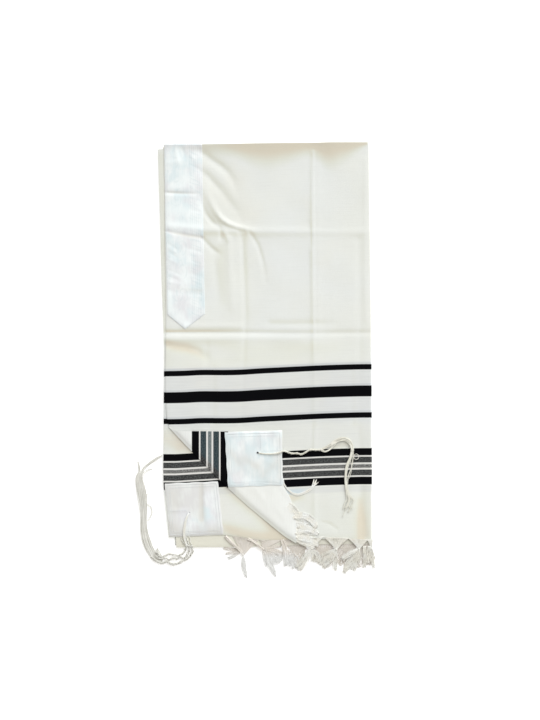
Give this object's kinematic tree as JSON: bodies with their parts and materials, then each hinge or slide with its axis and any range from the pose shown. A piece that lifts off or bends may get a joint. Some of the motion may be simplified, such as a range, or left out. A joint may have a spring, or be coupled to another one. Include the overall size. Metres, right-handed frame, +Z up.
{
  "type": "folded tallit prayer shawl",
  "caption": "Woven prayer shawl folded in four and laid flat, with a neck band, dark stripes, knotted fringe, one corner turned back and corner tassels.",
  "frame": {"origin": "middle of the folded cloth on its flat underside", "axes": "+X across the folded cloth towards its fold, +Y along it towards the other fold, +Z up, away from the surface it lies on"},
  "size_m": [0.5323, 0.9644, 0.0167],
  "materials": {
    "wool": "matt fine woven wool, off-white with black and grey stripes",
    "satin": "soft sheen satin, cool white",
    "thread": "matt twisted wool thread, cream"
  },
  "bodies": {
    "root": {"cloth_front": "wool", "cloth_folded_layers": "wool", "atarah": "satin", "corner_patch_front": "satin", "corner_patch_back": "satin", "fringe_front": "thread", "fringe_turned": "thread", "fringe_second": "thread", "fringe_lower": "thread", "tzitzit_front": "thread", "tzitzit_back": "thread"}
  },
  "joints": []
}
